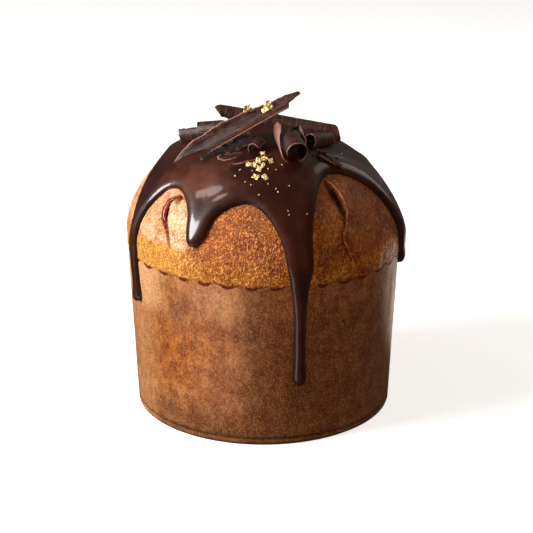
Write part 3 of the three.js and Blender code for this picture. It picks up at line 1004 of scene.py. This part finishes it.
def glaze_thickness(flat, inward):
    """Millimetres of glaze at each point of the map."""
    angle, arc = from_map(flat)
    turn = np.degrees(angle)
    dome_rise = np.interp(arc, down_meridian, rises)
    on_dome = wide_height + dome_height * np.cos(dome_rise) ** (2 / crown_power)
    z = np.where(arc > dome_arc, wide_height - (arc - dome_arc), on_dome)
    edge = np.full(len(flat), edge_width)
    body = np.full(len(flat), coat_thickness)
    for index, drip in enumerate(drips):
        away = degrees_apart(turn, drip_middle(drip, z)) * per_degree
        mine = smooth((drip["wide"] * 0.5 + 7 - away) / 5) * smooth((drip["root"] + 12 - z) / 12)
        clipped = np.clip(z, drip["tip"], drip["root"])
        right, left = (drip_side(index, clipped, side) for side in (True, False))
        half = 0.5 * per_degree * (right - left)
        edge = blend(edge, np.minimum(edge, np.maximum(half, 1)), mine)
        drip_body = blend(drip_thickness, bulb_thickness, drip_swell(drip, z))
        body = blend(body, drip_body, mine)
    share = np.clip(inward / edge, 0, 1)
    bead = bead_height * np.sin(math.pi * np.clip(inward / bead_width, 0, 1))
    return (body + stand_off) * quarter_round(share) + bead * share


def beside(points, start, end, wide):
    """1 on a line from start to end, seen from above, and 0 far from it."""
    step = np.subtract(end, start)
    share = np.clip((points - start) @ step / (step @ step), 0, 1)
    return bell(np.linalg.norm(points - start - share[:, None] * step, axis=1) / wide)


def make_glaze():
    mesh = cut_grid(grid_pitch)
    lattice = read_points(mesh)
    flat, inward = lattice[:, :2], lattice[:, 2]
    thick = glaze_thickness(flat, inward)
    first, second = edge_ends(mesh).T
    neighbours = np.bincount(np.append(first, second), minlength=len(thick))
    for _ in range(6):  # smooth it, away from the edge
        total = np.bincount(first, thick[second], len(thick))
        total += np.bincount(second, thick[first], len(thick))
        thick = np.where(inward > 1.6, blend(thick, total / neighbours, 0.5), thick)
    plain = on_cake(flat, thick)
    thick = (thick + 0.2 * clouds(plain, 17, 21) * smooth(inward / 5)
             + 0.1 * clouds(plain, 8, 22) * smooth(inward / 4))
    # Painted shade along the edge of the glaze.
    edge_shade = mesh.verts.layers.float.new("edge_shade")
    for vertex in mesh.verts:
        vertex[edge_shade] = float(vertex.co.z == 0)
    for edge in mesh.edges:
        edge.smooth = not edge.is_boundary
    over = list(mesh.verts)
    under, under_faces = double_sheet(mesh)
    bmesh.ops.reverse_faces(mesh, faces=under_faces)
    below = np.array([v.co for v in under])
    place_points(over, on_cake(flat, thick))
    place_points(under, on_cake(below[:, :2], -sunk * (below[:, 2] > 0)))
    bmesh.ops.remove_doubles(mesh, verts=on_boundary(mesh.verts), dist=1e-3)
    where = read_points(mesh)
    plan, z = where[:, :2], where[:, 2]
    # Painted shadow on the glaze under the shavings, along two lines seen from above.
    heap_shadow_mask = np.maximum(beside(plan, (-27, -27), (-3, -20), 3.4),
                      beside(plan, (6, -16), (30, -17), 5))
    # Painted sheen on the upper left of the dome.
    values = {"painted_sheen": spot(np.degrees(angle_of(where)), z, -38, 126, 26, 9),
              "heap_shadow": heap_shadow_mask * (z > 115)}
    return make_piece("glaze_coat", mesh, glaze_material(), ["glaze"], values)


glaze = make_glaze()

# %% [markdown]
# ## Shaved chocolate
#
# A knife drawn over a block lifts thin sheets that curl as they come off. Each shaving here is
# a flat grid bent round a line: a wide bend gives a shard, more than a full turn gives a quill.
# Two ragged side lines trim the sheet. A copy of it is set off inwards, and bridging the edges
# of the two gives it its thickness.

# %% Shaving material
def shaving_material():
    s = Surface("shaved_chocolate")
    grain = s.noise(0.6, 4, 0.65)
    patch = s.noise(4, 3, 0.55, seed=5)
    sheet = s.node("ShaderNodeCombineXYZ", {},
                   {"X": s.painted("with_knife") * 0.1, "Y": s.painted("beside_knife")})
    streak = s.node("ShaderNodeTexNoise", {},
                    {"Vector": sheet, "Scale": 0.9, "Detail": 3.0, "Roughness": 0.65}, "Fac")
    deep = s.painted("deep")
    colour = s.layers(
        s.mix(patch.between(0.35, 0.65), "28110a", "40201a"),
        # Painted light on the outer end of a curl, where a lit face shows.
        (s.painted("pale_and_lit"), "a8786a"),
        (streak.between(0.5, 0.66) * 0.35, "84584a"),
        (streak.between(0.48, 0.34) * 0.5, "180805"),
        (grain.between(0.55, 0.72) * 0.35, "8c6252"),
        (deep * 0.85, "080302"),
        (s.patchy("rim", grain, 0.7, 0.3, 0.75) * (0.85 - 0.7 * deep), "ac725c"))
    relief = s.bump(grain * 0.5 + patch * 0.4 + streak * 0.7, 0.4)
    return s.finish(Base_Color=colour, Roughness=0.34 + 0.16 * grain, Normal=relief,
                    Specular_IOR_Level=0.45)


shaved = shaving_material()

# %% Model the shavings
sheet_thickness = 1.0
sheet_pitch = 0.6  # millimetres between a sheet's vertices
blunt = [[0, -1, 1], [1, -1, 1]]
leaf = [[0, -0.2, 0.2], [0.15, -0.7, 0.6], [0.5, -1, 1], [0.8, -0.8, 0.7], [1, -0.15, 0.1]]
torn_strip = [[0, 0.2, 1], [0.2, -0.9, 1], [0.6, -1, 0.9], [0.85, -0.8, 0.5], [1, -0.3, 0.1]]
# Where each one lies, from one end to the other and rolled by an angle; its length, the radius
# and the degrees of its curl; and its side lines, as shares of half the curl. Grow widens the
# curl with each turn and cone from end to end, seam turns the sheet about its curl, bow lifts
# its middle and rag tears its sides. Deep darkens a sheet that lies in shadow, and the pale
# share paints light onto the outer end of a curl, where a lit face shows.
shavings = {
    "shard_long": dict(
        lay=[[-42.6, -20.5, 126.2], [17.4, -8.4, 158.8], 32], length=71, radius=6.4, turn=100,
        bow=1.6, sides=[
            [0, -0.1, 0.3], [0.07, -0.5, 0.8], [0.2, -1, 1.15], [0.45, -1, 1.2],
            [0.7, -1, 0.85], [0.88, -0.95, 0.65], [0.895, -0.15, 0.65], [1, 0.2, 0.45]]),
    "shard_under": dict(
        lay=[[-27, -28, 131.7], [-5.2, -20, 141.6], 34], length=29, radius=6, turn=66,
        deep=1.0, rag=2.4, sides=torn_strip),
    "quill_back": dict(
        lay=[[-25, 16, 141.6], [38.2, 13, 130.8], 0], length=64, radius=3, turn=230,
        seam=-150, sides=[
            [0, 0, 0.12], [0.06, -0.6, 0.7], [0.3, -1, 1], [0.93, -1, 1], [0.965, 0, 1],
            [1, 0.72, 1]]),
    "quill_left": dict(
        lay=[[-39.8, 3.4, 132.4], [-17, -4, 137.2], 0], length=23.5, radius=3.7, turn=420,
        grow=0.72, cone=-0.25, seam=60, sides=[
            [0, -1, -0.2], [0.24, -1, -0.15], [0.45, -1, 0.9], [1, -1, 1]]),
    "curl_big": dict(
        lay=[[9.4, -15.5, 140.1], [15, -34.2, 133.9], 0], length=20.5, radius=4.4, turn=400,
        grow=-1.1, cone=0.3, seam=90, pale_and_lit=0.75, sides=[
            [0, -1.15, -0.95], [0.2, -1.2, -0.3], [0.38, -1.15, 0.4], [0.58, -1, 1],
            [0.78, -0.9, 1], [1, -0.82, 1]]),
    "roll_right": dict(
        lay=[[21.2, -17.5, 135.9], [32.4, -4, 133.7], 0], length=15, radius=2.7, turn=330,
        grow=0.5, seam=170, sides=blunt),
    "splinter": dict(
        lay=[[20.8, -25.6, 134.6], [17.6, -20, 147.2], 90], length=14, radius=5, turn=40,
        sides=leaf),
    "curl_small": dict(
        lay=[[-4.6, -28.2, 135.8], [-1.8, -22.4, 137.2], 0], length=7.5, radius=2.1, turn=270,
        grow=0.5, seam=120, sides=blunt),
    "shard_front": dict(
        lay=[[-15.9, -35, 132.8], [2.6, -30.8, 136.1], 10], length=21, radius=7, turn=42,
        rag=1.5, sides=leaf),
    "strip_front": dict(
        lay=[[-20.8, -31.2, 133.7], [-10.6, -28.6, 136], 20], length=12, radius=6, turn=40,
        rag=1.8, sides=torn_strip),
    "flake_right": dict(
        lay=[[25.6, -23.5, 135.2], [37.4, -26.4, 129.1], 5], length=14, radius=8, turn=46,
        deep=0.5, rag=2.4, sides=torn_strip),
    "chip_middle": dict(
        lay=[[12, -8, 140.8], [21, -11.5, 139.8], 60], length=10, radius=5, turn=90,
        deep=0.7, sides=leaf),
    "curl_rear": dict(
        lay=[[-11, 35, 132], [6, 37.5, 131.4], 0], length=17, radius=2.3, turn=300,
        grow=0.4, seam=150, sides=blunt),
    "flake_rear": dict(
        lay=[[9, 33, 133.3], [22, 27, 133.5], 0], length=14, radius=8, turn=50, sides=leaf),
}


def laid(start, finish, roll):
    """Turns what was made along X to lie from one point to another."""
    start, finish = Vector(start), Vector(finish)
    forward = (finish - start).normalized()
    side = Vector((0, 0, 1)).cross(forward).normalized()
    basis = Matrix((forward, side, forward.cross(side))).transposed().to_4x4()
    rolled = Matrix.Rotation(math.radians(roll), 4, "X")
    return Matrix.Translation((start + finish) / 2) @ basis @ rolled


def curled_sheet(seed, length, radius, turn, sides, grow=0.0, cone=0.0, seam=0.0, bow=0.0,
                 deep=0.0, pale_and_lit=0.0, rag=1.0):
    """A trimmed sheet, made along X and curled about X, with what its material reads."""
    around_curl = radius * math.radians(turn)
    rows = max(16, int(length / sheet_pitch))
    columns = max(8, int(around_curl / sheet_pitch))
    mesh = flat_lattice(rows, columns)
    flat = read_points(mesh)
    along, across = flat[:, 0], flat[:, 1]
    near, far = 1 - along, 1 - across

    def wander(distance, shift):
        return np.column_stack([distance, np.full(len(along), seed + shift), 0 * along])

    table = np.array(sides, float)
    low, high = (
        np.interp(along, table[:, 0], table[:, side]) + rag / (0.5 * around_curl) * (
            0.45 * clouds(wander(along * length, 0) + 50 * side, 2.4)
            + 0.3 * clouds(wander(along * length, 0) + 50 * side, 0.9))
        for side in (1, 2))
    end_wander = wander(across * around_curl, 9.0)
    ragged = 0.6 * clouds(end_wander, 2.2) + 0.3 * clouds(end_wander, 0.8)
    near_end = smooth(1 - np.minimum(along, near) / 0.12) * np.where(along < 0.5, -1, 1)
    theta = math.radians(turn) / 2 * blend(low, high, across)
    bend = radius * (1 + cone * (along - 0.5)) + grow * theta / math.pi + 0.5 * sheet_thickness
    at = theta + math.radians(seam)
    outward = np.column_stack([0 * at, np.sin(at), -np.cos(at)])
    points = np.column_stack([
        (along - 0.5) * length + ragged * near_end,
        bend * np.sin(at),
        radius + 4 * bow * along * near - bend * np.cos(at)])
    points += 0.12 * np.column_stack([clouds(points + k, 3, seed + k) for k in (1, 2, 3)])

    edge_steps = np.minimum.reduce([along * rows, near * rows, across * columns, far * columns])
    thinned = 0.35 + 0.65 * smooth(edge_steps / 2.5)  # thinner towards the rim
    half_thick = 0.5 * sheet_thickness * thinned[:, None] * outward
    sheet_axes = along * length + 30 * seed, across * around_curl
    with_knife, beside_knife = sheet_axes if turn < 150 else sheet_axes[::-1]
    painted = {
        "rim": np.maximum(0, 1 - edge_steps / 1.2),
        "deep": 0 * along + deep,
        # Painted light on the lit outer end of a curl.
        "pale_and_lit": pale_and_lit * smooth(1 - 2.4 * across),  # only the outer end of a curl
        "with_knife": with_knife,
        "beside_knife": beside_knife,
    }
    layers = {key: mesh.verts.layers.float.new(key) for key in painted}
    for vertex, *numbers in zip(mesh.verts, *painted.values()):
        for layer, value in zip(layers.values(), numbers):
            vertex[layer] = value
    outer = list(mesh.verts)
    for number, vertex in enumerate(outer):
        vertex.co.z = number  # the copy keeps it, which says what it is a copy of
    inner, _ = double_sheet(mesh)
    for vertex in inner:
        vertex[layers["deep"]] = max(deep, 0.9 * (turn > 200))  # little light gets into a tube
    place_points(inner, (points - half_thick)[[round(v.co.z) for v in inner]])
    place_points(outer, points + half_thick)
    bmesh.ops.bridge_loops(mesh, edges=on_boundary(mesh.edges))
    bmesh.ops.recalc_face_normals(mesh, faces=mesh.faces)
    return mesh


pile = []
for number, (name, shape) in enumerate(shavings.items()):
    shape = dict(shape)
    lay = shape.pop("lay")
    mesh = curled_sheet(7.0 * number, **shape)
    mesh.transform(laid(*lay))
    pile.append(make_piece("shaved_" + name, mesh, shaved, [name]))

# %% [markdown]
# ## Gold leaf
#
# Edible gold is a film thinner than breath, so it lands as crumpled scraps. Each scrap starts
# as a small grid, is torn round and crumpled with noise, and gets just enough thickness to be
# a solid. A line from the camera says where each one lies, on whatever that line meets first.

# %% Gold material
def gold_material():
    s = Surface("gold_leaf")
    crumple = s.noise(0.7, 3, 0.6)
    colour = s.mix(crumple.between(0.3, 0.7), "e8b440", "fff4c0")
    return s.finish(Base_Color=colour, Metallic=0.45, Roughness=0.25 + 0.2 * crumple,
                    Normal=s.bump(crumple, 0.25))


# %% Drop the gold
def upper_surface():
    """One search tree over the glaze and the shavings, in millimetres."""
    corners, faces = [], []
    for piece in [glaze, *pile]:
        data = piece.data
        start = len(corners)
        corners += [v.co / MM for v in data.vertices]
        faces += [tuple(start + i for i in p.vertices) for p in data.polygons]
    return BVHTree.FromPolygons(corners, faces)


top_of_cake = upper_surface()
# Each scrap: its pixel across and down, its size in millimetres, and how far it stands up.
gold_scraps = [
    (249.5, 165, 3.0, 0.3), (255, 166, 2.6, 0.5), (258, 162, 2.8, 0.6), (262, 161, 2.4, 0.9),
    (263, 155, 2.6, 1.5), (265, 160, 2.4, 0.6), (271, 161.5, 2.8, 0.3), (260, 169.5, 3.2, 0.4),
    (263, 165, 2.0, 0.5), (256, 177, 3.2, 0.2), (265, 177.5, 3.2, 0.2), (268, 105.5, 4.4, 0.7),
    (265, 110, 3.4, 0.4), (264, 102, 2.4, 1.45), (271, 107, 2.6, 0.5), (246, 110.5, 3.8, 0.6),
    (249.5, 110.5, 3.2, 1.0), (341, 155, 1.6, 1.5),
]
speck_size, speck_stand = 0.7, 0.2
gold_specks = [(*pixel, speck_size, speck_stand) for pixel in (
    (245, 182), (251, 185), (240, 170), (259, 195), (276, 189), (278, 192), (276, 170),
    (289, 186), (288, 211), (289, 215), (307, 214), (252, 171), (268, 169), (282, 165),
    (235, 176), (268, 184))]


def drop(across, down):
    return top_of_cake.ray_cast(camera_place, sight_line(across, down))[:2]


def add_scrap(mesh, at, normal, size, stand, seed, narrow=0.75, thick=0.12):
    scrap = flat_lattice(8, 6)
    points = read_points(scrap) - [0.5, 0.5, 0]
    reach = np.linalg.norm(points, axis=1)
    angle = np.arctan2(points[:, 1], points[:, 0])
    ring = np.column_stack([np.cos(angle), np.sin(angle), 0 * angle])
    points *= (1 + 0.5 * clouds(ring, 0.6, seed) * smooth(reach / 0.4))[:, None]
    points[:, 1] *= narrow
    points[:, 2] = 0.26 * clouds(points, 0.3, seed + 3) + 0.05
    place_points(scrap.verts, points * size)
    bmesh.ops.solidify(scrap, geom=scrap.faces[:], thickness=thick)
    lean = Matrix.Rotation(stand, 4, "X") @ Matrix.Rotation(2.4 * seed, 4, "Z")
    turn = normal.to_track_quat("Z", "Y").to_matrix().to_4x4()
    lift = normal * (0.15 + 0.3 * size * math.sin(stand))
    scrap.transform(Matrix.Translation(at + lift) @ turn @ lean)
    data = to_data("scrap", scrap)
    mesh.from_mesh(data)
    bpy.data.meshes.remove(data)


def scatter(name, material, groups, **shape):
    """One piece with a scrap for each row of the groups, which are given by their first seed."""
    mesh = bmesh.new()
    for first_seed, rows in groups.items():
        for seed, (across, down, size, stand) in enumerate(rows, first_seed):
            at, normal = drop(across, down)
            if at is not None:
                add_scrap(mesh, at, normal, size, stand, seed, **shape)
    bmesh.ops.recalc_face_normals(mesh, faces=mesh.faces)
    make_piece(name, mesh, material)


scatter("gold_leaf", gold_material(), {0: gold_scraps, 40: gold_specks})

# %% Crumbs of the shavings
# Each crumb: its pixel across and down, its length in millimetres and how far it stands up.
crumbs = [
    (316, 149, 3.2, 0.2), (321, 153, 4.0, 0.3), (322, 161, 2.2, 0.5), (327, 156, 4.4, 0.2),
    (332, 161, 4.0, 0.3), (336, 159, 3.0, 0.4), (338, 165, 3.6, 0.2), (341, 167.5, 2.6, 0.3),
    (333, 143, 1.8, 0.6), (346, 148, 2.0, 0.2), (313, 156, 1.6, 0.3), (309, 151, 2.2, 0.2),
    (222, 156, 1.8, 0.3), (228, 153, 2.4, 0.4), (238, 149, 2.6, 0.4), (213, 152, 2.4, 0.2),
    (222, 146, 2.6, 0.5), (232, 141, 2.4, 0.4), (243, 135, 2.6, 0.5), (252, 131, 2.4, 0.4),
]
scatter("chocolate_crumbs", shaved, {80: crumbs}, narrow=0.3, thick=0.6)

# %% [markdown]
# ## Floor and light
#
# A large soft light stands to the left and a little in front, so the left side glows and the
# right side falls into shadow. A weaker one behind lights the edge on the right. Two narrow
# lights lie on the table and draw the bright lines down the drips and the paper's edge. The
# floor is plain and pale.

# %% Floor, lights and world
def make_floor():
    mesh = bmesh.new()
    bmesh.ops.create_grid(mesh, x_segments=1, y_segments=1, size=5)
    data = to_data("floor", mesh)
    s = Surface("pale_floor")
    data.materials.append(s.finish(Base_Color=(0.8, 0.8, 0.8, 1), Roughness=0.9,
                                   Emission_Color=(1, 1, 1, 1), Emission_Strength=0.7))
    floor = bpy.data.objects.new("floor", data)
    scene.collection.objects.link(floor)
    floor.visible_diffuse = floor.visible_glossy = False  # its glow stays off the cake
    floor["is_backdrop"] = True


def softbox(name, place, target, width, height, power, colour=(1, 1, 1)):
    light = bpy.data.lights.new(name, "AREA")
    light.shape = "ELLIPSE"
    light.size, light.size_y, light.energy, light.color = width, height, power, colour
    lamp = bpy.data.objects.new(name, light)
    lamp.location = place
    lamp.rotation_euler = (Vector(target) - Vector(place)).to_track_quat("-Z", "Y").to_euler()
    scene.collection.objects.link(lamp)
    return lamp


make_floor()
softbox("key", (-0.96, -0.34, 0.64), (0, 0, 0.08), 0.6, 0.5, 21.5)
softbox("overhead", (-0.52, -0.02, 1.0), (0, 0, 0.1), 0.2, 0.2, 0.9, (1, 0.86, 0.84))
softbox("back", (0.6, 0.54, 0.58), (0, 0, 0.1), 0.5, 0.9, 1.3, (1, 0.93, 0.86))
for name, place, turn, power, colour in (
        ("strip_left", (-0.156, -0.164, 0.003), 30, 0.11, (1, 0.84, 0.84)),
        ("strip_right", (0.168, 0.145, 0.003), 41, 0.2, (1, 0.8, 0.66))):
    strip = softbox(name, place, (0, 0, 1), 0.3, 0.07, power, colour)
    strip.rotation_euler = (math.pi, 0, math.radians(turn))
    strip.visible_camera = False
fill = softbox("fill", (0.5, -1.3, 0.5), (0, 0, 0.08), 1.2, 1.0, 7.5, (1, 0.8, 0.6))
fill.visible_glossy = False  # it lifts the shadows and leaves no second highlight
world = bpy.data.worlds.new("studio")
scene.world = world
world.use_nodes = True
world.node_tree.nodes["Background"].inputs["Color"].default_value = (1, 0.87, 0.74, 1)
world.node_tree.nodes["Background"].inputs["Strength"].default_value = 0.07
scene.view_settings.view_transform = "Standard"

# %% Compare sizes and finish
sizes = {"cad": [list(corner) for corner in cad_box], "visual": [list(corner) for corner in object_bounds()]}
for key, (low, high) in sizes.items():
    print(key, "size in millimetres:", [round((b - a) / MM, 1) for a, b in zip(low, high)])
